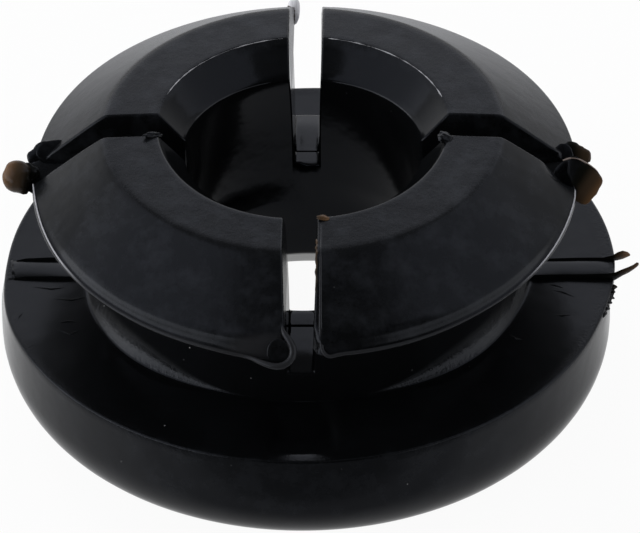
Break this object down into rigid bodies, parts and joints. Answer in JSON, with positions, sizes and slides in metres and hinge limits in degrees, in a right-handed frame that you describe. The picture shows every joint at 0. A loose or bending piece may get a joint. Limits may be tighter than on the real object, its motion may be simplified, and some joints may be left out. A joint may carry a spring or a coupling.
{
  "type": "snap-in rubber grommet",
  "caption": "Snap-in rubber grommet with a slotted cone head, a groove that grips a panel's edge, a thick flange and a through bore.",
  "frame": {"origin": "on the bore's axis, in the plane that the flange rests on", "axes": "+Z along the bore towards the slotted head; the slots run along X and Y"},
  "size_m": [0.0209, 0.02, 0.0098],
  "materials": {
    "black_rubber": "satin"
  },
  "bodies": {
    "root": {"grommet": "black_rubber"}
  },
  "joints": []
}
